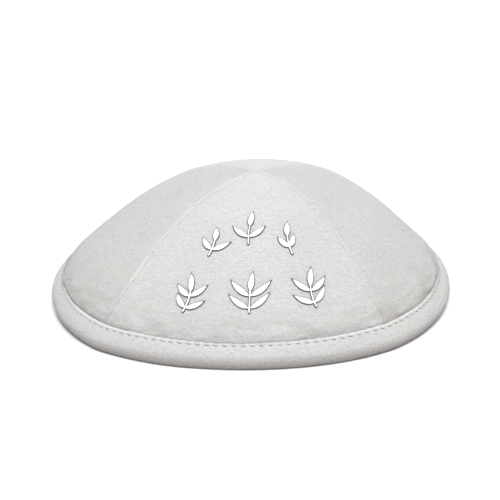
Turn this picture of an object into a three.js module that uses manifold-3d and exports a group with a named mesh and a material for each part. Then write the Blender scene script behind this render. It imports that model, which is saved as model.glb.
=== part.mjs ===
// A kippah: a shallow skullcap of four suede gores, a folded suede binding round
// its rim, and six small silver leaf ornaments on the front gore.
//
// Millimetres, +Z up. The cap stands on its rim with the origin at the middle of
// the rim plane. The front looks along -Y, and its right-hand side is +X.
// Round the cap, an angle is counted from the front towards +X. Up the crown,
// "climb" runs from 0 at the binding's top edge to 1 at the apex.

import * as THREE from 'three';
import Module from 'manifold-3d';

const DEG = Math.PI / 180;

// Crown
const CAP_HEIGHT = 57.4;
const RIM_RADIUS = 85;            // widest line of the binding, at the middle of a gore
const CROWN_FOOT_RADIUS = 78.6;   // outer face of the gores where they go into the binding
const CROWN_FOOT_HEIGHT = 9.4;
const FLARE_ANGLE = 60 * DEG;     // slope of the wall there, from the horizontal
const FOOT_HANDLE = 4;            // how long the side of the crown keeps that slope
const TOP_HANDLE = 54.5;          // how far the crown stays level beside its apex
const PUFF = 3.4;                 // how far the suede swells out over the binding's lip
const PUFF_HEIGHT = 4.2;          // how far above the lip it swells the most
const SQUARENESS = 0.042;         // how far the seams stand out, at the rim and at the top
const SQUARE_POWER = 1.3;         // nearer 1 gives sharper corners
const APEX_LEAN = 3.5;            // the soft top sits this far towards +X
const LEAN_START = 12;            // height where that lean begins
const SUEDE = 1.6;                // thickness of the gores
const SEAM_GAP = 0.4;             // between one gore and the next

// Binding
const EDGE_DEPTH = 7.1;           // length of gore hidden in the fold
const FOLD_GAP = 0.35;            // between the gores and the fold round them
const INNER_LEG = 1.2;            // thickness of the binding inside the cap
const INNER_LEG_DROP = 0.5;       // how far its top stays below the crown's foot
const LIP_RADIUS = 80;            // top edge of the outer leg
const LIP_HEIGHT = 10.4;
const BULGE_HEIGHT = 4.2;         // height of the binding's widest line
const FOOT_OUTER_RADIUS = 81.5;   // the flat ring that the cap rests on
const FOOT_INNER_RADIUS = 79.3;
const FOLD_HEIGHT = 1.3;          // the inner turn of the fold, above the flat ring
const FOLD_RADIUS = 78.2;

// Ornaments
const ORNAMENT_LIFT = 0.35;       // gap between the suede and an ornament's back
const ORNAMENT_EDGE = 0.45;       // thickness at a leaf's edge
const LEAF_RIDGE = 0.3;           // how much higher the middle of a leaf is
const STEM_DROP = 0.12;           // a stem is this much thinner than a leaf
const STEM_WIDTH = 1.1;
const STEM_SHARE = 0.62;          // of an ornament's height
const LEAF_WIDTH = 2.9;
const TIP_WIDTH = 0.3;
const LEAF_CURL = 30 * DEG;       // side leaves turn back towards the stem
const SIDE_LEAF_SHARE = 0.42;     // of an ornament's height
const WIDEST_LEAF_ANGLE = 50 * DEG;

// Each ornament: its middle as an angle and a climb, its size along the suede,
// its pairs of side leaves, and how far its stem bends towards +X.
const ORNAMENTS = [
  { name: 'leaf_ornament_1', angle: -18.1, climb: 0.623, height: 15, spread: 13, pairs: 1, bend: -24 },
  { name: 'leaf_ornament_2', angle: -0.9, climb: 0.694, height: 18, spread: 14, pairs: 1, bend: 10 },
  { name: 'leaf_ornament_3', angle: 19.4, climb: 0.639, height: 17, spread: 7, pairs: 1, bend: 24 },
  { name: 'leaf_ornament_4', angle: -20.5, climb: 0.383, height: 18.5, spread: 13.5, pairs: 2, bend: -28 },
  { name: 'leaf_ornament_5', angle: 1.5, climb: 0.401, height: 19, spread: 17.5, pairs: 2, bend: 8 },
  { name: 'leaf_ornament_6', angle: 23.9, climb: 0.403, height: 18.5, spread: 15, pairs: 2, bend: 28 },
];

// Mesh steps
const GORE_COLUMNS = 16;
const CROWN_ROWS = 14;
const HIDDEN_ROWS = 2;
const ROLL_STEPS = 4;
const LEAF_STEPS = 6;
const PAIR_SPACING = 3;           // leaf steps between one pair of side leaves and the next

const suedeMaterial = new THREE.MeshStandardMaterial({ color: 0xe4e2df, roughness: 0.95, metalness: 0 });
const bindingMaterial = new THREE.MeshStandardMaterial({ color: 0xdddbd7, roughness: 0.95, metalness: 0 });
const silverMaterial = new THREE.MeshStandardMaterial({ color: 0xe8e9ea, roughness: 0.25, metalness: 1 });

// A point at a radius and height on the rounded-square plan of the cap.
function onPlan(angle, radius, height, squareness) {
  const corner = 1 - Math.abs(Math.cos(2 * angle)) ** SQUARE_POWER;
  const reach = radius * (1 + squareness * corner);
  const lean = APEX_LEAN * Math.max(0, (height - LEAN_START) / (CAP_HEIGHT - LEAN_START));
  return new THREE.Vector3(reach * Math.sin(angle) + lean, -reach * Math.cos(angle), height);
}

const plainProfile = new THREE.CubicBezierCurve(
  new THREE.Vector2(CROWN_FOOT_RADIUS, CROWN_FOOT_HEIGHT),
  new THREE.Vector2(
    CROWN_FOOT_RADIUS - FOOT_HANDLE * Math.cos(FLARE_ANGLE),
    CROWN_FOOT_HEIGHT + FOOT_HANDLE * Math.sin(FLARE_ANGLE),
  ),
  new THREE.Vector2(TOP_HANDLE, CAP_HEIGHT),
  new THREE.Vector2(0, CAP_HEIGHT),
);

// Radius and height of the crown's outer face. Above the lip it swells out and
// dies away again.
function crownProfile(climb) {
  const { x: plainRadius, y: height } = plainProfile.getPoint(climb);
  const share = Math.max(0, height - LIP_HEIGHT) / PUFF_HEIGHT;
  return new THREE.Vector2(plainRadius + PUFF * share * Math.exp(1 - share), height);
}

// A point of the rim's cross-section, as radius and height: so far down the
// straight flare below the crown's foot, and so deep inside the gore's outer face.
function onFlare(down, depth) {
  return new THREE.Vector2(
    CROWN_FOOT_RADIUS + down * Math.cos(FLARE_ANGLE) - depth * Math.sin(FLARE_ANGLE),
    CROWN_FOOT_HEIGHT - down * Math.sin(FLARE_ANGLE) - depth * Math.cos(FLARE_ANGLE),
  );
}

// The crown's outer face. The seams stand out at the foot and at the top, and
// the gores round off between them.
function onCrown(angle, climb) {
  const { x: radius, y: height } = crownProfile(climb);
  return onPlan(angle, radius, height, SQUARENESS * (1 - 2 * climb) ** 2);
}

function crownNormal(angle, climb) {
  const step = 1e-4;
  const low = Math.min(climb, 1 - 2 * step);
  const here = onCrown(angle, low);
  const across = onCrown(angle + step, low).sub(here);
  const up = onCrown(angle, low + step).sub(here);
  return across.cross(up).normalize();
}

// One gore: an outer and an inner face, closed round its edges. Its last row is
// a single point by the apex, where four gores meet.
function goreGeometry(middleAngle) {
  const tipRadius = SEAM_GAP / Math.SQRT2;
  const outer = [];
  const inner = [];

  function addRow(radius, pointAt) {
    const halfAngle = Math.PI / 4 - Math.asin(SEAM_GAP / 2 / radius);
    for (let column = 0; column <= GORE_COLUMNS; column += 1) {
      const across = (2 * column) / GORE_COLUMNS - 1;
      const [outside, inside] = pointAt(middleAngle + across * halfAngle);
      outer.push(outside);
      inner.push(inside);
    }
  }

  for (let row = 0; row <= HIDDEN_ROWS; row += 1) {
    const down = EDGE_DEPTH * (1 - row / HIDDEN_ROWS);
    const outside = onFlare(down, 0);
    const inside = onFlare(down, SUEDE);
    addRow(outside.x, (angle) => [
      onPlan(angle, outside.x, outside.y, SQUARENESS),
      onPlan(angle, inside.x, inside.y, SQUARENESS),
    ]);
  }
  for (let row = 1; row < CROWN_ROWS; row += 1) {
    const climb = row / CROWN_ROWS;
    addRow(crownProfile(climb).x, (angle) => {
      const outside = onCrown(angle, climb);
      const inside = outside.clone().addScaledVector(crownNormal(angle, climb), -SUEDE);
      return [outside, inside];
    });
  }
  const outerTip = onPlan(middleAngle, tipRadius, CAP_HEIGHT, 0);
  const innerTip = outerTip.clone().setZ(CAP_HEIGHT - SUEDE);

  const wide = GORE_COLUMNS + 1;
  const rows = outer.length / wide;
  const points = [...outer, ...inner, outerTip, innerTip];
  const innerStart = outer.length;
  const outerTipIndex = points.length - 2;
  const innerTipIndex = points.length - 1;
  const triangles = [];

  // Adds a quad, or a triangle when two of its corners are the same point.
  function addQuad(a, b, c, d) {
    if (a !== b && b !== c) triangles.push(a, b, c);
    if (c !== d && d !== a) triangles.push(a, c, d);
  }
  const outerAt = (row, column) => (row < rows ? row * wide + column : outerTipIndex);
  const innerAt = (row, column) => (row < rows ? innerStart + row * wide + column : innerTipIndex);

  for (let row = 0; row < rows; row += 1) {
    for (let column = 0; column < GORE_COLUMNS; column += 1) {
      addQuad(outerAt(row, column), outerAt(row, column + 1), outerAt(row + 1, column + 1), outerAt(row + 1, column));
      addQuad(innerAt(row, column + 1), innerAt(row, column), innerAt(row + 1, column), innerAt(row + 1, column + 1));
    }
    addQuad(innerAt(row, 0), outerAt(row, 0), outerAt(row + 1, 0), innerAt(row + 1, 0));
    addQuad(
      outerAt(row, GORE_COLUMNS), innerAt(row, GORE_COLUMNS),
      innerAt(row + 1, GORE_COLUMNS), outerAt(row + 1, GORE_COLUMNS),
    );
  }
  for (let column = 0; column < GORE_COLUMNS; column += 1) {
    addQuad(innerAt(0, column), innerAt(0, column + 1), outerAt(0, column + 1), outerAt(0, column));
  }
  return indexedGeometry(points, triangles);
}

function indexedGeometry(points, triangles) {
  const geometry = new THREE.BufferGeometry().setFromPoints(points);
  geometry.setIndex(triangles);
  geometry.computeVertexNormals();
  return geometry;
}

// The binding: its closed cross-section, carried round the cap. The outer leg is
// a soft roll from the lip over the bulge to the flat ring, and the slot in the
// fold stays clear of the gores.
function bindingSection() {
  const section = [];
  for (let step = 0; step <= ROLL_STEPS; step += 1) {
    const share = 1 - step / ROLL_STEPS;
    const inset = (RIM_RADIUS - FOOT_OUTER_RADIUS) * share ** 2;
    const height = BULGE_HEIGHT * (1 - Math.sin((share * Math.PI) / 2));
    section.push(new THREE.Vector2(RIM_RADIUS - inset, height));
  }
  for (let step = 1; step <= ROLL_STEPS; step += 1) {
    const share = step / ROLL_STEPS;
    const inset = (RIM_RADIUS - LIP_RADIUS) * share ** 2;
    const height = BULGE_HEIGHT + (LIP_HEIGHT - BULGE_HEIGHT) * Math.sin((share * Math.PI) / 2);
    section.push(new THREE.Vector2(RIM_RADIUS - inset, height));
  }
  const slotDepth = SUEDE + FOLD_GAP;
  const slotLength = EDGE_DEPTH + FOLD_GAP;
  section.push(
    onFlare(0, -FOLD_GAP),
    onFlare(slotLength, -FOLD_GAP),
    onFlare(slotLength, slotDepth),
    onFlare(INNER_LEG_DROP, slotDepth),
    onFlare(INNER_LEG_DROP, slotDepth + INNER_LEG),
    onFlare(EDGE_DEPTH / 2, slotDepth + INNER_LEG),
    new THREE.Vector2(FOLD_RADIUS, FOLD_HEIGHT),
    new THREE.Vector2(FOOT_INNER_RADIUS, 0),
  );
  return section;
}

function bindingGeometry() {
  const section = bindingSection();
  const steps = 4 * GORE_COLUMNS;
  const points = [];
  const triangles = [];
  for (let step = 0; step < steps; step += 1) {
    const angle = (2 * Math.PI * step) / steps;
    for (const { x: radius, y: height } of section) {
      points.push(onPlan(angle, radius, height, SQUARENESS));
    }
  }
  for (let step = 0; step < steps; step += 1) {
    const here = step * section.length;
    const next = ((step + 1) % steps) * section.length;
    for (let side = 0; side < section.length; side += 1) {
      const other = (side + 1) % section.length;
      triangles.push(here + side, next + side, next + other);
      triangles.push(here + side, next + other, here + other);
    }
  }
  return indexedGeometry(points, triangles);
}

// A place on the front gore: so far across and up, in millimetres along the
// suede, from a point of the crown, and lifted off it.
function onSuede(place, across, up, lift) {
  const step = 1e-3;
  const here = onCrown(place.angle, place.climb);
  const rise = onCrown(place.angle, place.climb + step).distanceTo(here) / step;
  const climb = place.climb + up / rise;
  const angle = place.angle + across / crownProfile(climb).x;
  return onCrown(angle, climb).addScaledVector(crownNormal(angle, climb), lift);
}

// The middle line of a leaf or stem: an arc from its base, with its headings
// counted from straight up towards +X.
function leafLine({ base, heading, length, bend }) {
  const line = [];
  let { x: across, y: up } = base;
  for (let step = 0; step <= LEAF_STEPS; step += 1) {
    const direction = heading + (bend * step) / LEAF_STEPS;
    line.push({ across, up, direction, share: step / LEAF_STEPS });
    const next = direction + bend / LEAF_STEPS / 2;
    across += (Math.sin(next) * length) / LEAF_STEPS;
    up += (Math.cos(next) * length) / LEAF_STEPS;
  }
  return line;
}

// One leaf or stem, laid on the suede: a ridge along its middle and thin edges.
function leafGeometry(place, leaf) {
  const points = [];
  const triangles = [];
  const line = leafLine(leaf);
  const top = ORNAMENT_LIFT + ORNAMENT_EDGE - leaf.drop;
  for (const { across, up, direction, share } of line) {
    const swell = leaf.isStem ? 1 : Math.sin(Math.PI * share ** 0.8);
    const half = Math.max(TIP_WIDTH, leaf.width * swell) / 2;
    const sideways = new THREE.Vector2(Math.cos(direction), -Math.sin(direction));
    const corners = [
      [-half, ORNAMENT_LIFT],
      [half, ORNAMENT_LIFT],
      [half, top],
      [0, top + LEAF_RIDGE * (half / leaf.width)],
      [-half, top],
    ];
    for (const [side, lift] of corners) {
      points.push(onSuede(place, across + sideways.x * side, up + sideways.y * side, lift));
    }
  }
  const around = 5;
  for (let step = 0; step < line.length - 1; step += 1) {
    for (let side = 0; side < around; side += 1) {
      const other = (side + 1) % around;
      const here = step * around;
      const next = here + around;
      triangles.push(here + side, next + side, next + other);
      triangles.push(here + side, next + other, here + other);
    }
  }
  const last = (line.length - 1) * around;
  for (let side = 1; side < around - 1; side += 1) {
    triangles.push(0, side, side + 1);
    triangles.push(last, last + side + 1, last + side);
  }
  return indexedGeometry(points, triangles);
}

// The leaves of one sprig: a stem, a leaf at its top and pairs of side leaves.
function sprigLeaves({ height, spread, pairs, bend }) {
  const foot = new THREE.Vector2(0, -height / 2);
  const stem = {
    base: foot, heading: -bend / 2, bend, length: height * STEM_SHARE,
    width: STEM_WIDTH, drop: STEM_DROP, isStem: true,
  };
  const stemLine = leafLine(stem);
  const sideLength = Math.max(SIDE_LEAF_SHARE * height, spread / 2 / Math.sin(WIDEST_LEAF_ANGLE));
  const sideAngle = Math.asin(spread / 2 / sideLength);
  const tip = stemLine[LEAF_STEPS - 1];
  const leaves = [stem, {
    base: new THREE.Vector2(tip.across, tip.up), heading: tip.direction, bend: bend / 2,
    length: height * (1 - STEM_SHARE * (1 - 1 / LEAF_STEPS)), width: LEAF_WIDTH, drop: 0,
  }];
  for (let pair = 0; pair < pairs; pair += 1) {
    const from = stemLine[PAIR_SPACING * (pair + 1) - pairs];
    for (const side of [-1, 1]) {
      leaves.push({
        base: new THREE.Vector2(from.across, from.up), heading: from.direction + side * (sideAngle + LEAF_CURL / 2),
        bend: -side * LEAF_CURL, length: sideLength, width: LEAF_WIDTH, drop: 0,
      });
    }
  }
  return leaves;
}

const wasm = await Module();
wasm.setup();

function toSolid(geometry) {
  return new wasm.Manifold(new wasm.Mesh({
    numProp: 3,
    vertProperties: geometry.getAttribute('position').array,
    triVerts: new Uint32Array(geometry.getIndex().array),
  }));
}

function fromSolid(solid) {
  const { vertProperties, triVerts } = solid.getMesh();
  const geometry = new THREE.BufferGeometry();
  geometry.setAttribute('position', new THREE.BufferAttribute(vertProperties, 3));
  geometry.setIndex(new THREE.BufferAttribute(triVerts, 1));
  geometry.computeVertexNormals();
  return geometry;
}

// An ornament is one solid: its leaves and its stem joined where they meet.
function ornamentGeometry(ornament) {
  const place = { angle: ornament.angle * DEG, climb: ornament.climb };
  const leaves = sprigLeaves({ ...ornament, bend: ornament.bend * DEG });
  const solids = leaves.map((leaf) => toSolid(leafGeometry(place, leaf)));
  return fromSolid(solids.reduce((joined, solid) => joined.add(solid)));
}

const group = new THREE.Group();

function addMesh(name, geometry, material) {
  const mesh = new THREE.Mesh(geometry, material.clone());
  mesh.name = name;
  group.add(mesh);
}

['front', 'right', 'back', 'left'].forEach((side, index) => {
  addMesh(`panel_${side}`, goreGeometry((index * Math.PI) / 2), suedeMaterial);
});
addMesh('rim_binding', bindingGeometry(), bindingMaterial);
for (const ornament of ORNAMENTS) {
  addMesh(ornament.name, ornamentGeometry(ornament), silverMaterial);
}

export default group;
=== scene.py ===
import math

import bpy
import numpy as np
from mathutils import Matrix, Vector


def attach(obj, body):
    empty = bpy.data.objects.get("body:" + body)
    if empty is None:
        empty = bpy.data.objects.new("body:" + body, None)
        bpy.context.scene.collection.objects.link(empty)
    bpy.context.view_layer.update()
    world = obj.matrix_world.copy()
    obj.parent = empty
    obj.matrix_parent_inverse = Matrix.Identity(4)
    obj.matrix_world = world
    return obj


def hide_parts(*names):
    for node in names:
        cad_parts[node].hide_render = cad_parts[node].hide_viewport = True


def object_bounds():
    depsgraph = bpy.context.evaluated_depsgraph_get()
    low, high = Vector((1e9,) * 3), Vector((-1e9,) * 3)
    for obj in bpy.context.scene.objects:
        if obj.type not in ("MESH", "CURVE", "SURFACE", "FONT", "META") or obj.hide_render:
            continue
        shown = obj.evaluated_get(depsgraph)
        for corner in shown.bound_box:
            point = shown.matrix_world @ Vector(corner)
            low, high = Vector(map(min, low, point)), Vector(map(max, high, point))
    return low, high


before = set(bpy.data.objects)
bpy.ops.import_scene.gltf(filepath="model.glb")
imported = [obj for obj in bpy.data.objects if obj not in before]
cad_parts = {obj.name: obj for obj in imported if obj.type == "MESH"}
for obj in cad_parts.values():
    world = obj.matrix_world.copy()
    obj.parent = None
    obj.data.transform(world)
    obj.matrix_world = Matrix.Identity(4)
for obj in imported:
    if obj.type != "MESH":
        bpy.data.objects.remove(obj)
cad_low, cad_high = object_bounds()

# A white suede kippah: four gores, a rolled binding sewn round the rim and six
# silver leaf sprigs. Everything is in metres, +Z up, with the front along -Y.
# An angle is counted from the front towards +X. "Climb" goes from 0 at the
# binding to 1 at the apex, as in the CAD part.

MM = 0.001

# The crown's form, as in the CAD part
CAP_HEIGHT = cad_high.z
RIM_RADIUS = cad_high.x
CROWN_FOOT_RADIUS = 78.6 * MM
CROWN_FOOT_HEIGHT = 9.4 * MM
FLARE_ANGLE = math.radians(60)
FOOT_HANDLE = 4 * MM
TOP_HANDLE = 54.5 * MM
PUFF = 3.3 * MM                   # the swelling starts at the foot here, pressed against the lip
PUFF_HEIGHT = 4.6 * MM
SQUARENESS = 0.042
SQUARE_POWER = 1.3
APEX_LEAN = 3.5 * MM
LEAN_START = 12 * MM
SUEDE = 1.6 * MM
EDGE_DEPTH = 7.1 * MM

# The crown's fine form
SEAM_HALF_GAP = 0.02 * MM
GORE_COLUMNS = 200
GORE_ROWS = 176
HIDDEN_ROWS = 6
COLUMN_CROWDING = 0.85            # nearer 1 puts more columns beside the seams
ALLOWANCE_WIDTH = 6 * MM          # seam allowance glued down inside, each side of a seam
ALLOWANCE_DEPTH = 0.9 * MM
ALLOWANCE_EDGE = 0.35 * MM        # how softly the allowance's cut edge steps down
SEAM_GROOVE = 0.7 * MM            # half width of the groove between the two allowances

# The binding
BULGE_HEIGHT = 4.2 * MM
LIP_RADIUS = 80 * MM
LIP_HEIGHT = 10.4 * MM
FOOT_OUTER_RADIUS = 81.5 * MM
FOOT_INNER_RADIUS = 79.3 * MM
FOLD_RADIUS = 78.2 * MM
SLOT_GAP = 0.08 * MM
INNER_LEG = 1.2 * MM
INNER_LEG_DROP = 0.5 * MM
BINDING_STEPS = 1064
STITCHES = 133
GROOVE_BELOW_LIP = 1.3 * MM
GROOVE_WANDER = 0.22 * MM         # how far it goes down and up at each stitch
OUTER_GROOVE_DEPTH = 0.45 * MM
INNER_GROOVE_DEPTH = 0.3 * MM
LIP_ROUND = 0.5 * MM              # length from the outer leg's end to the top of the lip
FLAT_FOOT = 0.8 * MM              # the roll's surface is plain towards the floor from this height
UNDERSIDE = 6.8 * MM              # the roll's colour is painted darker below this height, as shade on its underside
INSIDE_PAINTED_SHADE_SHARE = 0.25          # how much of that its inner side has
SIDE_PAINTED_SHADE = 0.17                  # how much shade is painted on the gores at the cap's sides
ROLL_SIDE_PAINTED_SHADE = 0.28             # the same for the roll


# ---------------------------------------------------------------- surfaces

def on_plan(angle, radius, height, squareness):
    """Points at a radius and height on the cap's rounded-square plan."""
    corner = 1 - np.abs(np.cos(2 * angle)) ** SQUARE_POWER
    reach = radius * (1 + squareness * corner)
    lean = APEX_LEAN * np.maximum(0, (height - LEAN_START) / (CAP_HEIGHT - LEAN_START))
    x = reach * np.sin(angle) + lean
    y = -reach * np.cos(angle)
    return np.stack([x, y, height + 0 * angle], -1)


def crown_profile(climb):
    """Radius and height of the crown's outer face, which swells out above the lip."""
    foot = np.array([CROWN_FOOT_RADIUS, CROWN_FOOT_HEIGHT])
    above = foot + FOOT_HANDLE * np.array([-math.cos(FLARE_ANGLE), math.sin(FLARE_ANGLE)])
    beside = np.array([TOP_HANDLE, CAP_HEIGHT])
    apex = np.array([0, CAP_HEIGHT])
    t = np.asarray(climb, float)[..., None]
    u = 1 - t
    point = foot * u**3 + 3 * above * t * u**2 + 3 * beside * t**2 * u + apex * t**3
    share = (point[..., 1] - CROWN_FOOT_HEIGHT) / PUFF_HEIGHT
    return point[..., 0] + PUFF * share * np.exp(1 - share), point[..., 1]


def on_flare(down, depth):
    """Radius and height below the crown's foot, so deep inside the outer face."""
    radius = CROWN_FOOT_RADIUS + down * math.cos(FLARE_ANGLE) - depth * math.sin(FLARE_ANGLE)
    height = CROWN_FOOT_HEIGHT - down * math.sin(FLARE_ANGLE) - depth * math.cos(FLARE_ANGLE)
    return radius, height


def on_crown(angle, climb):
    radius, height = crown_profile(climb)
    return on_plan(angle, radius, height, SQUARENESS * (1 - 2 * climb) ** 2)


def crown_normal(angle, climb):
    step = 1e-4
    low = np.minimum(climb, 1 - 2 * step)
    here = on_crown(angle, low)
    across = on_crown(angle + step, low) - here
    up = on_crown(angle, low + step) - here
    return unit(np.cross(across, up))


def unit(vectors):
    return vectors / np.linalg.norm(vectors, axis=-1, keepdims=True)


def noise(points, size, seed):
    """Smooth noise from -1 to 1 over points in space, with features about size across."""
    rng = np.random.default_rng(seed)
    lattice = 32
    table = rng.uniform(-1, 1, (lattice,) * 3)
    turn, _ = np.linalg.qr(rng.normal(size=(3, 3)))
    place = points @ turn / size + lattice * 4
    cell = np.floor(place).astype(int)
    share = place - cell
    share = share * share * (3 - 2 * share)
    total = 0
    for corner in np.ndindex(2, 2, 2):
        index = (cell + corner) % lattice
        weight = np.prod(np.where(corner, share, 1 - share), -1)
        total = total + weight * table[index[..., 0], index[..., 1], index[..., 2]]
    return total


def bump(distance, width):
    return np.exp(-((distance / width) ** 2))


def path_lengths(radius, height):
    """Length along a profile from its first point."""
    steps = np.hypot(np.diff(radius), np.diff(height))
    return np.concatenate([[0], np.cumsum(steps)])


def rim_distance(climb):
    """Length along the suede from the binding's edge."""
    samples = np.linspace(0, 1, 400)
    return np.interp(climb, samples, path_lengths(*crown_profile(samples)))


# ------------------------------------------------------------------ meshes

def make_piece(name, points, faces, material, replaces):
    mesh = bpy.data.meshes.new(name)
    mesh.from_pydata(points.reshape(-1, 3).tolist(), [], faces)
    mesh.validate()
    mesh.polygons.foreach_set("use_smooth", [True] * len(mesh.polygons))
    mesh.materials.append(material)
    piece = bpy.data.objects.new(name, mesh)
    bpy.context.scene.collection.objects.link(piece)
    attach(piece, "root")
    if replaces:
        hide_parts(replaces)
    return piece


def store(piece, name, values):
    """A number for each vertex, which the material reads."""
    attribute = piece.data.attributes.new(name, "FLOAT", "POINT")
    attribute.data.foreach_set("value", np.asarray(values, np.float32).ravel())


def grid_faces(rows, columns, start=0, flip=False, closed=False):
    """Quads of a grid of points. A closed one is joined round in both directions."""
    open_edge = 0 if closed else 1
    row, column = np.meshgrid(np.arange(rows - open_edge), np.arange(columns - open_edge), indexing="ij")
    above, beside = (row + 1) % rows, (column + 1) % columns
    corners = [(row, column), (row, beside), (above, beside), (above, column)]
    quads = np.stack([start + r * columns + c for r, c in corners], -1).reshape(-1, 4)
    return [tuple(quad) for quad in (quads[:, ::-1] if flip else quads).tolist()]


# --------------------------------------------------------------- materials

class Nodes:
    """A material's node tree, with short calls for the nodes used here."""

    def __init__(self, name):
        self.material = bpy.data.materials.new(name)
        self.material.use_nodes = True
        self.tree = self.material.node_tree
        self.shader = self.tree.nodes["Principled BSDF"]
        self.place = self.tree.nodes.new("ShaderNodeTexCoord").outputs["Object"]

    def add(self, kind, values=None, **settings):
        node = self.tree.nodes.new(kind)
        for name, value in settings.items():
            setattr(node, name, value)
        for socket, value in (values or {}).items():
            self.set(node.inputs[socket], value)
        return node

    def set(self, socket, value):
        if isinstance(value, bpy.types.NodeSocket):
            self.tree.links.new(value, socket)
        else:
            socket.default_value = value

    def noise(self, size, detail=2.0, roughness=0.5, stretch=None):
        place = self.place
        if stretch:
            place = self.add("ShaderNodeMapping", {"Vector": place, "Scale": stretch}).outputs[0]
        values = {"Vector": place, "Scale": 1 / size, "Detail": detail, "Roughness": roughness}
        return self.add("ShaderNodeTexNoise", values).outputs["Fac"]

    def math(self, operation, first, second):
        node = self.add("ShaderNodeMath", {0: first, 1: second}, operation=operation)
        return node.outputs[0]

    def spread(self, value, low, high, to_low, to_high):
        values = {"Value": value, "From Min": low, "From Max": high, "To Min": to_low, "To Max": to_high}
        return self.add("ShaderNodeMapRange", values).outputs["Result"]

    def mix(self, share, first, second):
        node = self.add("ShaderNodeMix", data_type="RGBA")
        for index, value in ((0, share), (6, first), (7, second)):
            self.set(node.inputs[index], value)
        return node.outputs[2]

    def attribute(self, name):
        return self.add("ShaderNodeAttribute", attribute_name=name).outputs["Fac"]

    def bump(self, height, distance, strength=1.0, normal=None):
        values = {"Height": height, "Distance": distance, "Strength": strength}
        if normal is not None:
            values["Normal"] = normal
        return self.add("ShaderNodeBump", values).outputs["Normal"]

    def surface(self, **values):
        for name, value in values.items():
            self.set(self.shader.inputs[name.replace("_", " ")], value)


SUEDE_LIGHT = (0.61, 0.606, 0.598)
SUEDE_SHADE = (0.505, 0.501, 0.494)
# the lighter tone of rubbed nap and painted highlight, then the tone of painted shade
WORN_AND_HIGHLIGHT = (0.68, 0.68, 0.67)
PAINTED_SHADE_TONE = (0.27, 0.25, 0.24)


def suede_material(name, nap_and_shade_tone):
    """Napped leather: a mottled tone, a soft sheen, lighter nap where it is rubbed and where a
    highlight is painted, and a darker tone where shade is painted. Its tone factor is how bright
    it looks by the way the nap lies, partly painted shade that darkens the side gores."""
    base, shaded = [tuple(nap_and_shade_tone * c for c in tone) + (1,) for tone in (SUEDE_LIGHT, SUEDE_SHADE)]
    wear_and_highlight, painted_shade = WORN_AND_HIGHLIGHT + (1,), PAINTED_SHADE_TONE + (1,)
    nodes = Nodes(name)
    cloud = nodes.spread(nodes.noise(26 * MM, 3), 0.3, 0.7, 0.0, 0.4)
    mottle = nodes.spread(nodes.noise(1.6 * MM, 3, 0.6), 0.3, 0.7, 0.0, 0.7)
    fleck = nodes.spread(nodes.noise(0.8 * MM, 2, 0.6), 0.3, 0.7, 0.0, 0.6)
    share = nodes.math("ADD", nodes.math("ADD", cloud, mottle), fleck)
    tone = nodes.mix(nodes.spread(share, 0.0, 1.7, 0.0, 1.0), shaded, base)
    # painted shade darkens the tone, and wear with painted highlight lightens it
    tone = nodes.mix(nodes.attribute("painted_shade"), tone, painted_shade)
    tone = nodes.mix(nodes.attribute("wear_and_highlight"), tone, wear_and_highlight)
    pebble = nodes.bump(nodes.noise(1.7 * MM, 2, 0.6, stretch=(1, 1, 1.4)), 0.85 * MM)
    grain = nodes.bump(nodes.noise(0.9 * MM, 3, 0.65), 0.62 * MM, normal=pebble)
    nap = nodes.bump(nodes.noise(0.42 * MM, 3, 0.7), 0.2 * MM, normal=grain)
    nodes.surface(Base_Color=tone, Normal=nap, Roughness=0.95, Specular_IOR_Level=0.15)
    nodes.surface(Sheen_Weight=0.08, Sheen_Roughness=0.6, Diffuse_Roughness=1.0)
    return nodes.material


def thread_material():
    """Twisted sewing thread, a darker grey than the suede: painted shade for the stitches sunk in their
    groove.
    """
    nodes = Nodes("thread")
    strands = nodes.noise(0.35 * MM, 2)
    # the darker grey is painted shade
    tone = nodes.mix(strands, (0.49, 0.48, 0.47, 1), (0.59, 0.58, 0.57, 1))
    twist = nodes.bump(nodes.noise(0.2 * MM, 2), 0.06 * MM)
    nodes.surface(Base_Color=tone, Normal=twist, Roughness=0.7, Sheen_Weight=0.2)
    return nodes.material


def silver_material(name, light, dark, roughness, metal):
    """Satin silver with faint brushing. Given dark tones, it is the painted shade on the ornaments'
    bevels.
    """
    nodes = Nodes(name)
    brushed = nodes.noise(0.9 * MM, 2, stretch=(1, 1, 0.2))
    tone = nodes.mix(brushed, dark, light)
    fine = nodes.bump(nodes.noise(0.5 * MM, 2), 0.01 * MM)
    nodes.surface(Base_Color=tone, Normal=fine, Metallic=metal)
    nodes.surface(Roughness=nodes.spread(brushed, 0.3, 0.7, roughness - 0.04, roughness + 0.04))
    return nodes.material


# ------------------------------------------------------------------- crown

def crown_form(points, above_rim):
    """The soft unevenness of the suede, which dies away towards the binding."""
    form = 0.4 * MM * noise(points, 34 * MM, 11) + 0.2 * MM * noise(points, 15 * MM, 12)
    return form * (1 - bump(above_rim, 9 * MM))


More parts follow.
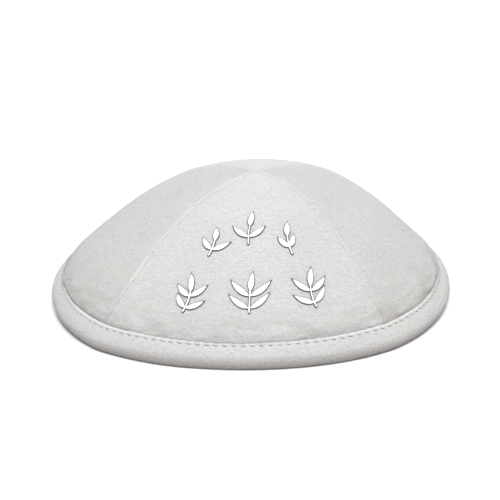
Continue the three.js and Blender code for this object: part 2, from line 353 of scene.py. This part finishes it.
def crown_detail(angle, points, above_rim, from_seam, raised, rim_painted_shade):
    """How far the suede stands off the plain crown, how much wear and painted highlight lighten
    its nap, and how much painted shade darkens it. raised is how far the seam allowance lifts
    the edge, and the last argument how much shade is painted beside the rim."""
    grain = 0.045 * MM * noise(points, 2.2 * MM, 13) + 0.05 * MM * noise(points, 1.5 * MM, 14)
    grain = grain * (1 + 2.2 * np.exp(-above_rim / (12 * MM)))

    # creases that run round the rim, where the stitching gathers the suede
    round_rim = np.stack([angle * RIM_RADIUS / (5 * MM), above_rim / (1.7 * MM), 0 * angle], -1)
    long_rim = np.stack([angle * RIM_RADIUS / (12 * MM), above_rim / (3.4 * MM), 0 * angle], -1)
    gathers = 0.36 * MM * noise(round_rim, 1.0, 15) + 0.26 * MM * noise(long_rim, 1.0, 18)
    folds = np.exp(-above_rim / (8 * MM)) * (1 - np.exp(-above_rim / (1 * MM)))
    gathers = gathers * folds
    pitch = np.cos(angle * STITCHES) * np.exp(-above_rim / (2.5 * MM))

    # the seam: a fine valley, with the allowance lifting the side gores beside it
    ripple = 1 + 0.35 * noise(points, 3.2 * MM, 16)
    valley = -0.16 * MM * bump(from_seam, 0.4 * MM) * ripple - 0.1 * MM * bump(from_seam, 2.2 * MM)
    ridge = raised * (from_seam / (1.1 * MM)) * np.exp(1 - from_seam / (1.1 * MM)) * ripple
    fade = 1 - np.exp(-above_rim / (3 * MM))

    # wear and painted highlight: the nap is lighter along the raised seam edges, where the ridge catches
    # the light
    patchy = np.clip(0.5 + 0.5 * noise(points, 5 * MM, 19), 0, 1)
    wear_and_highlight = (0.4 + 0.4 * patchy) * bump(from_seam - 0.5 * MM, 0.6 * MM) * raised / (0.3 * MM)
    wear_and_highlight = wear_and_highlight * (1 - bump(above_rim, 14 * MM))
    # painted shade: darker on the cap's sides and, in streaks along the gathers, beside the rim where the
    # suede turns in under its swelling
    streaks = np.clip(0.5 - 0.5 * noise(round_rim, 1.0, 15) - 0.5 * noise(long_rim, 1.0, 18), 0, 1)
    beside_rim = rim_painted_shade * (0.3 + 1.4 * streaks) * np.exp(-above_rim / (8 * MM))
    painted_shade = SIDE_PAINTED_SHADE * np.sin(angle) ** 2 + beside_rim
    lift = crown_form(points, above_rim) + grain + gathers + 0.05 * MM * pitch + fade * (valley + ridge)
    return lift, wear_and_highlight, painted_shade


def make_gore(name, middle, raised, rim_painted_shade, material):
    """One gore round the angle middle, its hidden lower edge inside the binding."""
    share = np.linspace(-1, 1, GORE_COLUMNS + 1)
    crowding = math.pi / 2 * COLUMN_CROWDING
    share = np.sin(crowding * share) / math.sin(crowding)
    samples = np.linspace(0, 1, 2000)
    lengths = path_lengths(*crown_profile(samples))
    share_up = np.linspace(0, 1, GORE_ROWS + 1)[:-1]
    climb = np.interp(lengths[-1] * share_up * (0.5 + 0.5 * share_up), lengths, samples)

    radius = crown_profile(climb)[0][:, None]
    angle = middle + share[None, :] * (math.pi / 4 - SEAM_HALF_GAP / radius)
    climb = np.broadcast_to(climb[:, None], angle.shape)
    plain = on_crown(angle, climb)
    normal = crown_normal(angle, climb)
    above_rim = rim_distance(climb)
    from_seam = (math.pi / 4 - np.abs(angle - middle)) * radius
    lift, wear_and_highlight, painted_shade = crown_detail(angle, plain, above_rim, from_seam, raised, rim_painted_shade)
    outer = plain + normal * lift[..., None]
    allowance = ALLOWANCE_DEPTH / (1 + np.exp((from_seam - ALLOWANCE_WIDTH) / ALLOWANCE_EDGE))
    seam_dip = bump(from_seam, SEAM_GROOVE) * ALLOWANCE_DEPTH
    thickness = SUEDE + allowance - seam_dip
    rough = 0.06 * MM * noise(plain, 2.0 * MM, 17)
    inner = plain - normal * (thickness + rough)[..., None]

    down = np.linspace(EDGE_DEPTH, 0, HIDDEN_ROWS, endpoint=False)[:, None]
    edge_angle = np.broadcast_to(angle[:1], (HIDDEN_ROWS, angle.shape[1]))
    hidden = [on_plan(edge_angle, *on_flare(down, depth), SQUARENESS) for depth in (0, SUEDE)]
    outer = np.concatenate([hidden[0], outer])
    inner = np.concatenate([hidden[1], inner])
    nap = [np.concatenate([np.zeros(edge_angle.shape), values]) for values in (wear_and_highlight, painted_shade)]

    tip = on_plan(np.array(middle), SEAM_HALF_GAP, CAP_HEIGHT, 0.0)
    tip_lift = crown_detail(np.array(middle), tip, np.array(1.0), np.array(0.0), raised, 0)[0]
    tips = np.stack([tip + [0, 0, tip_lift], tip - [0, 0, SUEDE]])
    make_shell(name, outer, inner, tips, nap, material)


def make_shell(name, outer, inner, tips, nap, material):
    """A gore from its outer and inner grids, joined along all its edges and closed at the tip.
    nap holds how much wear and painted highlight lighten the outer face, and how much painted
    shade darkens it."""
    rows, columns = outer.shape[:2]
    count = rows * columns
    faces = grid_faces(rows, columns) + grid_faces(rows, columns, count, flip=True)
    top = count - columns
    outer_tip, inner_tip = 2 * count, 2 * count + 1
    for column in range(columns - 1):
        a, b = column, column + 1
        faces.append((top + a, top + b, outer_tip))
        faces.append((count + top + b, count + top + a, inner_tip))
        faces.append((count + a, count + b, b, a))
    for row in range(rows - 1):
        low, high = row * columns, (row + 1) * columns
        faces.append((count + low, low, high, count + high))
        low, high = low + columns - 1, high + columns - 1
        faces.append((low, count + low, count + high, high))
    faces.append((count + top, top, outer_tip, inner_tip))
    faces.append((top + columns - 1, count + top + columns - 1, inner_tip, outer_tip))
    points = np.concatenate([outer.reshape(-1, 3), inner.reshape(-1, 3), tips])
    node = name.replace("suede_", "panel_")
    piece = make_piece(name, points, faces, material, node)
    for attribute, values in zip(("wear_and_highlight", "painted_shade"), nap):
        store(piece, attribute, np.concatenate([values.ravel(), np.zeros(count + 2)]))


# ----------------------------------------------------------------- binding

def outer_leg():
    """Section of the binding's outer face, from the flat ring over the bulge to the lip."""
    share = np.linspace(1, 0, 11)[:-1]
    under_radius = RIM_RADIUS - (RIM_RADIUS - FOOT_OUTER_RADIUS) * share**2
    under_height = BULGE_HEIGHT * (1 - np.sin(share * math.pi / 2))
    share = np.linspace(0, 1, 46)
    rise = (np.sin(share * math.pi / 2) + share) / 2
    over_radius = RIM_RADIUS - (RIM_RADIUS - LIP_RADIUS) * share**2
    over_height = BULGE_HEIGHT + (LIP_HEIGHT - BULGE_HEIGHT) * rise
    return np.concatenate([under_radius, over_radius]), np.concatenate([under_height, over_height])


def lip():
    """The rounded top edge of the outer leg, turning down to the crown."""
    middle_radius, middle_height = LIP_RADIUS - 0.65 * MM, LIP_HEIGHT - 0.55 * MM
    size = math.hypot(LIP_RADIUS - middle_radius, LIP_HEIGHT - middle_height)
    start = math.atan2(LIP_HEIGHT - middle_height, LIP_RADIUS - middle_radius)
    turn = np.linspace(start, math.pi, 12)[1:]
    return middle_radius + size * np.cos(turn), middle_height + size * np.sin(turn)


def slot():
    """The hidden inside of the fold, clear of the gores."""
    deep, wide = EDGE_DEPTH + SLOT_GAP, SUEDE + SLOT_GAP
    corners = [(1.0 * MM, -SLOT_GAP), (deep, -SLOT_GAP), (deep, wide), (INNER_LEG_DROP, wide)]
    points = [on_flare(down, depth) for down, depth in corners]
    return np.array([p[0] for p in points]), np.array([p[1] for p in points])


def inner_leg():
    """Section of the face inside the cap, from its top edge down to the flat ring."""
    half = INNER_LEG / 2
    middle = SUEDE + SLOT_GAP + half
    turn = np.linspace(0, math.pi, 8)[1:-1]
    edge = [on_flare(INNER_LEG_DROP - half * math.sin(a), middle - half * math.cos(a)) for a in turn]
    depth = SUEDE + SLOT_GAP + INNER_LEG
    top = np.array(on_flare(INNER_LEG_DROP, depth))
    below = np.array(on_flare(INNER_LEG_DROP + 3.5 * MM, depth))
    turned = np.array([FOLD_RADIUS - 0.3 * MM, 0.6 * MM])
    foot = np.array([FOOT_INNER_RADIUS, 0])
    t = np.linspace(0, 1, 16)[:, None]
    face = top * (1 - t) ** 3 + 3 * below * t * (1 - t) ** 2 + 3 * turned * t**2 * (1 - t) + foot * t**3
    points = np.concatenate([np.array(edge), face])
    return points[:, 0], points[:, 1]


def from_groove(angle, below):
    """Distance from the middle of the stitched groove, which slants at each stitch."""
    return below - GROOVE_BELOW_LIP - GROOVE_WANDER * np.sin(angle * STITCHES)


def leg_detail(angle, below, points, depth):
    """How far a leg's suede stands off its plain form, by its distance below the top edge."""
    angle, below = np.broadcast_arrays(angle, below)
    at_stitch = np.cos(angle * STITCHES)
    groove = -depth * bump(from_groove(angle, below), 0.4 * MM) * (1 + 0.6 * at_stitch)
    swell = 0.1 * MM * bump(below - 0.1 * MM, 0.7 * MM)
    pull = -0.05 * MM * at_stitch * np.exp(-np.maximum(0, below - GROOVE_BELOW_LIP) / (2.2 * MM))
    across = np.stack([angle * RIM_RADIUS / 2.6 + below / (4 * MM) * 0.7, below / 9, 0 * angle], -1)
    pleats = 0.07 * MM * noise(across, 1.0, 21)
    form = 0.16 * MM * noise(points, 13 * MM, 22) + 0.06 * MM * noise(points, 5 * MM, 23)
    grain = 0.035 * MM * noise(points, 1.6 * MM, 24)
    return groove + swell + pull + pleats + form + grain


def binding_wear_and_shade(angle, height, below, outer_rows, inner_rows):
    """How much wear and painted highlight lighten the roll, and how much painted shade darkens it, at each
    point of its grid.
    """
    wear_and_highlight = np.zeros((len(height), BINDING_STEPS))
    # wear and painted highlight along the lip's top edge
    wear_and_highlight[outer_rows] = 0.75 * bump(below - 0.3 * MM, 0.6 * MM)

    # painted shade: in the stitched groove, on the roll's sides and on its underside, less of it inside
    # the cap
    in_groove = np.zeros(wear_and_highlight.shape)
    at_stitch = 0.5 + 0.5 * np.cos(angle * STITCHES)
    in_groove[outer_rows] = bump(from_groove(angle, below), 0.4 * MM) * (0.35 + 0.65 * at_stitch)
    sides = ROLL_SIDE_PAINTED_SHADE * np.sin(angle) ** 2
    underside = np.clip(1 - height / UNDERSIDE, 0, 1) ** 0.9
    painted_shade = np.maximum(sides + 0.22 * in_groove, underside)
    painted_shade[inner_rows] *= INSIDE_PAINTED_SHADE_SHARE
    return wear_and_highlight, painted_shade


def make_binding(material):
    """The roll: its closed section, carried round the rim."""
    angle = np.linspace(0, 2 * math.pi, BINDING_STEPS, endpoint=False)[None, :]
    outer, inner = outer_leg(), inner_leg()
    parts = [outer, lip(), slot(), inner]
    radius = np.concatenate([part[0] for part in parts])[:, None]
    height = np.concatenate([part[1] for part in parts])[:, None]
    rows = len(radius)
    plain = on_plan(np.broadcast_to(angle, (rows, BINDING_STEPS)), radius, height, SQUARENESS)
    across = np.roll(plain, -1, 1) - np.roll(plain, 1, 1)
    along = np.roll(plain, -1, 0) - np.roll(plain, 1, 0)
    normal = unit(np.cross(across, along))

    outer_rows = slice(0, len(outer[0]) + len(lip()[0]))
    inner_rows = slice(-len(inner[0]), None)
    length = path_lengths(radius[outer_rows, 0], height[outer_rows, 0])
    below = (length[len(outer[0]) - 1] + LIP_ROUND - length)[:, None]
    below_inside = path_lengths(*inner)[:, None]
    lift = np.zeros(plain.shape[:2])
    lift[outer_rows] = leg_detail(angle, below, plain[outer_rows], OUTER_GROOVE_DEPTH)
    lift[inner_rows] = leg_detail(angle, below_inside, plain[inner_rows], INNER_GROOVE_DEPTH)
    off_floor = np.clip(height / FLAT_FOOT, 0, 1)
    points = plain + normal * (lift * off_floor)[..., None]

    faces = grid_faces(rows, BINDING_STEPS, closed=True)
    piece = make_piece("suede_binding", points, faces, material, "rim_binding")
    wear_and_highlight, painted_shade = binding_wear_and_shade(angle, height, below, outer_rows, inner_rows)
    store(piece, "wear_and_highlight", wear_and_highlight)
    store(piece, "painted_shade", painted_shade)


# ---------------------------------------------------------------- stitches

def on_leg(leg, side, angle, below, lift):
    """A point on a leg of the binding, by its distance below the leg's top edge. The leg's
    section runs downwards, and side is -1 outside the cap and 1 inside."""
    radius, height = leg
    length = path_lengths(radius, height)

    def plain(at_angle, at_below):
        r, z = np.interp(at_below, length, radius), np.interp(at_below, length, height)
        return on_plan(at_angle, r, z, SQUARENESS)

    here = plain(angle, below)
    across = plain(angle + 1e-4, below) - here
    down = plain(angle, below + 1e-5) - here
    return here + unit(np.cross(across, down)) * side * lift[..., None]


def make_stitches(name, leg, side, material, slant, drop):
    """A row of stitches as one joined mesh: short threads that dive into the suede at both ends.
    drop is how far the row is below the middle of the groove."""
    steps, around = 11, 8
    half_length, thick = 1.5 * MM, 0.2 * MM
    rng = np.random.default_rng(31)
    points, faces = [], []
    for stitch in range(STITCHES):
        middle = 2 * math.pi * stitch / STITCHES
        wander = rng.normal(0, 1, 3)
        along = np.linspace(-half_length, half_length, steps)[:, None]
        turn = np.linspace(0, 2 * math.pi, around, endpoint=False)[None, :]
        share = along / half_length
        swell = thick * np.sqrt(1 - 0.93 * share**4)
        tilt = math.tan(slant + 0.05 * wander[0])
        below = GROOVE_BELOW_LIP + drop + along * tilt + 0.04 * MM * wander[1]
        arch = 0.06 * MM - 0.42 * MM * share**2
        angle = middle + (along + 0.08 * MM * wander[2]) / RIM_RADIUS
        ring_below = below + swell * np.cos(turn)
        ring_lift = arch + swell * np.sin(turn)
        ring_angle = np.broadcast_to(angle, ring_below.shape)
        start = stitch * steps * around
        points.append(on_leg(leg, side, ring_angle, ring_below, ring_lift).reshape(-1, 3))
        faces += tube_faces(steps, around, start, flip=side < 0)
    make_piece(name, np.concatenate(points), faces, material, None)


def tube_faces(steps, around, start, flip):
    faces = []
    for step in range(steps - 1):
        for side in range(around):
            a = start + step * around + side
            b = start + step * around + (side + 1) % around
            faces.append((a, b, b + around, a + around))
    faces.append(tuple(start + side for side in reversed(range(around))))
    faces.append(tuple(start + (steps - 1) * around + side for side in range(around)))
    return [face[::-1] for face in faces] if flip else faces


# --------------------------------------------------------------- ornaments

ORNAMENT_FACE = 0.95 * MM         # height of an ornament's face above the suede
ORNAMENT_BEVEL = 0.4 * MM
BEVEL_DROP = 0.3 * MM
ORNAMENT_GRID = 0.13 * MM
STEM_WIDTH = 1.1 * MM
STEM_SHARE = 0.62
LEAF_WIDTH = 2.9 * MM
TIP_WIDTH = 0.3 * MM
LEAF_CURL = math.radians(30)
SIDE_LEAF_SHARE = 0.42
WIDEST_LEAF_ANGLE = math.radians(50)
LINE_STEPS = 6
PAIR_SPACING = 3

# The same table as in the CAD part, in degrees and millimetres
ORNAMENTS = [
    {"name": "1", "angle": -18.1, "climb": 0.623, "height": 15, "spread": 13, "pairs": 1, "bend": -24},
    {"name": "2", "angle": -0.9, "climb": 0.694, "height": 18, "spread": 14, "pairs": 1, "bend": 10},
    {"name": "3", "angle": 19.4, "climb": 0.639, "height": 17, "spread": 7, "pairs": 1, "bend": 24},
    {"name": "4", "angle": -20.5, "climb": 0.383, "height": 18.5, "spread": 13.5, "pairs": 2, "bend": -28},
    {"name": "5", "angle": 1.5, "climb": 0.401, "height": 19, "spread": 17.5, "pairs": 2, "bend": 8},
    {"name": "6", "angle": 23.9, "climb": 0.403, "height": 18.5, "spread": 15, "pairs": 2, "bend": 28},
]


def leaf_line(base, heading, length, bend, steps=LINE_STEPS):
    """Points along an arc from base, and its heading at each."""
    points, headings = [np.array(base, float)], [heading]
    for step in range(steps):
        middle = heading + bend * (step + 0.5) / steps
        points.append(points[-1] + length / steps * np.array([math.sin(middle), math.cos(middle)]))
        headings.append(heading + bend * (step + 1) / steps)
    return np.array(points), headings


def sprig_strokes(height, spread, pairs, bend):
    """The stem and leaves of a sprig, each as points along its middle and half widths there."""
    fine = 60
    share = np.linspace(0, 1, fine + 1)
    swell = np.maximum(TIP_WIDTH, LEAF_WIDTH * np.sin(math.pi * share**0.8)) / 2

    def leaf(base, heading, length, leaf_bend):
        return leaf_line(base, heading, length, leaf_bend, fine)[0], swell

    stem = ((0, -height / 2), -bend / 2, height * STEM_SHARE, bend)
    line, headings = leaf_line(*stem)
    strokes = [(leaf_line(*stem, fine)[0], np.full(fine + 1, STEM_WIDTH / 2))]
    top_length = height * (1 - STEM_SHARE * (1 - 1 / LINE_STEPS))
    strokes.append(leaf(line[-2], headings[-2], top_length, bend / 2))
    side_length = max(SIDE_LEAF_SHARE * height, spread / 2 / math.sin(WIDEST_LEAF_ANGLE))
    side_angle = math.asin(spread / 2 / side_length)
    for pair in range(pairs):
        joint = PAIR_SPACING * (pair + 1) - pairs
        for side in (-1, 1):
            heading = headings[joint] + side * (side_angle + LEAF_CURL / 2)
            strokes.append(leaf(line[joint], heading, side_length, -side * LEAF_CURL))
    return strokes


def depth_inside(places, strokes):
    """How far inside the sprig's outline each place is; outside it is negative."""
    depth = np.full(places.shape[:-1], -1.0)
    for line, half_widths in strokes:
        for point, half_width in zip(line, half_widths):
            depth = np.maximum(depth, half_width - np.linalg.norm(places - point, axis=-1))
    return depth


def on_gore(spec, across, up):
    """Plain point, outward normal and height of the suede at a place round an ornament's middle."""
    middle, climb = math.radians(spec["angle"]), spec["climb"]
    step = 1e-3
    pair = on_crown(np.array([middle, middle]), np.array([climb, climb + step]))
    climbs = climb + up / (np.linalg.norm(pair[1] - pair[0]) / step)
    angles = middle + across / crown_profile(climbs)[0]
    points = on_crown(angles, climbs)
    return points, crown_normal(angles, climbs), crown_form(points, rim_distance(climbs))


def cut_outline(spec):
    """A grid of places round a sprig's middle, the ones just outside it moved onto its outline,
    with how deep inside each one is and which squares of the grid belong to the sprig."""
    height, spread = spec["height"] * MM, spec["spread"] * MM
    strokes = sprig_strokes(height, spread, spec["pairs"], math.radians(spec["bend"]))
    reach = max(height, spread) * 0.65
    ticks = np.arange(-reach, reach, ORNAMENT_GRID)
    place = np.stack(np.meshgrid(ticks, ticks, indexing="ij"), -1)
    depth = depth_inside(place, strokes)

    slope = np.stack(np.gradient(depth, ORNAMENT_GRID), -1)
    size = np.linalg.norm(slope, axis=-1, keepdims=True)
    outside = depth < 0
    shift = -depth[..., None] * slope / np.maximum(size, 0.5) ** 2
    place = np.where(outside[..., None], place + shift, place)
    inside = ~outside
    kept = inside[:-1, :-1] | inside[1:, :-1] | inside[:-1, 1:] | inside[1:, 1:]
    return place, depth, kept


def make_ornament(spec, face_material, edge_material):
    """A sprig cut from sheet, with a bevel all round in the edge's material, which is dark as painted
    shade along its outline.
    """
    place, depth, kept = cut_outline(spec)
    points, normal, suede = on_gore(spec, place[..., 0], place[..., 1])
    inset = np.clip(depth / ORNAMENT_BEVEL, 0, 1)
    top = suede + ORNAMENT_FACE - BEVEL_DROP * (1 - inset)
    back = suede - 0.05 * MM
    count = depth.size
    upper = points + normal * top[..., None]
    lower = points + normal * back[..., None]
    index = np.arange(count).reshape(depth.shape)
    quads = [index[:-1, :-1][kept], index[1:, :-1][kept], index[1:, 1:][kept], index[:-1, 1:][kept]]
    quads = np.stack(quads, -1)
    faces = quads.tolist() + (quads[:, ::-1] + count).tolist()
    edges = {}
    for a, b, c, d in quads.tolist():
        for edge in ((a, b), (b, c), (c, d), (d, a)):
            edges[edge] = True
    walls = [(b, a, a + count, b + count) for a, b in edges if (b, a) not in edges]
    points = np.concatenate([upper.reshape(-1, 3), lower.reshape(-1, 3)])

    used, fresh = np.unique(np.array(faces + [list(w) for w in walls]).ravel(), return_inverse=True)
    faces = fresh.reshape(-1, 4).tolist()
    name = "leaf_sprig_" + spec["name"]
    node = "leaf_ornament_" + spec["name"]
    piece = make_piece(name, points[used], faces, face_material, node)
    piece.data.materials.append(edge_material)
    flat_inset = np.concatenate([inset.ravel(), np.zeros(count)])[used]
    # the bevel's faces take the dark edge material: painted shade along the outline
    for polygon in piece.data.polygons:
        if np.mean([flat_inset[v] for v in polygon.vertices]) < 0.75:
            polygon.material_index = 1
    piece.data.set_sharp_from_angle(angle=math.radians(28))


# ------------------------------------------------------------------- build

thread = thread_material()
bright = {"light": (0.99, 0.99, 1.0, 1), "dark": (0.94, 0.94, 0.95, 1)}
# painted shade and dark reflection for the ornaments' bevels
painted_edge_shade = {"light": (0.20, 0.20, 0.21, 1), "dark": (0.14, 0.14, 0.15, 1)}
silver = silver_material("silver", **bright, roughness=0.48, metal=0.5)
silver_edge = silver_material("silver_edge", **painted_edge_shade, roughness=0.4, metal=0.7)

# Each gore: how far the seam allowance lifts its edges, how bright its nap looks, which is partly
# painted shade that darkens the side gores, and how much shade is painted on the gathered suede
# beside the binding
GORES = [
    {"name": "front", "raised": 0.0, "nap_and_shade_tone": 1.015, "rim_painted_shade": 0.42},
    {"name": "right", "raised": 0.2 * MM, "nap_and_shade_tone": 0.955, "rim_painted_shade": 0.5},
    {"name": "back", "raised": 0.0, "nap_and_shade_tone": 1.0, "rim_painted_shade": 0.42},
    {"name": "left", "raised": 0.3 * MM, "nap_and_shade_tone": 0.95, "rim_painted_shade": 0.55},
]
for number, gore in enumerate(GORES):
    suede = suede_material("suede_" + gore["name"], gore["nap_and_shade_tone"])
    middle = number * math.pi / 2
    make_gore("suede_" + gore["name"], middle, gore["raised"], gore["rim_painted_shade"], suede)
make_binding(suede_material("suede_binding", nap_and_shade_tone=1.0))
outer_down = tuple(part[::-1] for part in outer_leg())
make_stitches("stitches_outside", outer_down, -1, thread, slant=math.radians(9), drop=-0.5 * MM)
make_stitches("stitches_inside", inner_leg(), 1, thread, slant=math.radians(-6), drop=0.0)
for spec in ORNAMENTS:
    make_ornament(spec, silver, silver_edge)


# ------------------------------------------------------------------- stage

def make_floor():
    nodes = Nodes("floor")
    nodes.surface(Base_Color=(0.95, 0.95, 0.95, 1), Roughness=0.9, Specular_IOR_Level=0.1)
    mesh = bpy.data.meshes.new("floor")
    reach = 6.0
    corners = [(-reach, -reach, 0), (reach, -reach, 0), (reach, reach, 0), (-reach, reach, 0)]
    mesh.from_pydata(corners, [], [(0, 1, 2, 3)])
    mesh.materials.append(nodes.material)
    floor = bpy.data.objects.new("floor", mesh)
    bpy.context.scene.collection.objects.link(floor)


def make_light(name, place, size, power):
    lamp = bpy.data.lights.new(name, "AREA")
    lamp.shape = "DISK"
    lamp.size = size
    lamp.energy = power
    light = bpy.data.objects.new(name, lamp)
    light.location = place
    light.rotation_euler = (-Vector(place)).to_track_quat("-Z", "Y").to_euler()
    bpy.context.scene.collection.objects.link(light)


def make_camera(azimuth, elevation, roll, distance, width, drop):
    """Looks at the cap from azimuth (towards +X) and elevation, in degrees. width is what
    the frame spans at the cap, and drop is how far its middle is below the aim."""
    a, e, r = (math.radians(x) for x in (azimuth, elevation, roll))
    back = Vector((math.sin(a) * math.cos(e), -math.cos(a) * math.cos(e), math.sin(e)))
    level = Vector((math.cos(a), math.sin(a), 0))
    over = back.cross(level)
    right = level * math.cos(r) - over * math.sin(r)
    up = level * math.sin(r) + over * math.cos(r)
    aim = Vector((0, 0, 25 * MM)) - up * drop
    lens = bpy.data.cameras.new("camera")
    lens.lens = lens.sensor_width * distance / width
    camera = bpy.data.objects.new("camera", lens)
    turn = Matrix((right, up, back)).transposed().to_4x4()
    camera.matrix_world = Matrix.Translation(aim + back * distance) @ turn
    bpy.context.scene.collection.objects.link(camera)
    bpy.context.scene.camera = camera


make_floor()
make_light("key", place=(0.2, -2.1, 3.5), size=3.8, power=218)
make_light("fill", place=(0.3, 2.8, 0.8), size=2.4, power=45)
make_camera(azimuth=2.76, elevation=21.05, roll=1.09, distance=2.6, width=0.2135, drop=3.2 * MM)

world = bpy.data.worlds.new("world")
world.use_nodes = True
background = world.node_tree.nodes["Background"]
background.inputs["Color"].default_value = (1, 1, 1, 1)
background.inputs["Strength"].default_value = 0.43
bpy.context.scene.world = world
bpy.context.scene.view_settings.view_transform = "Standard"
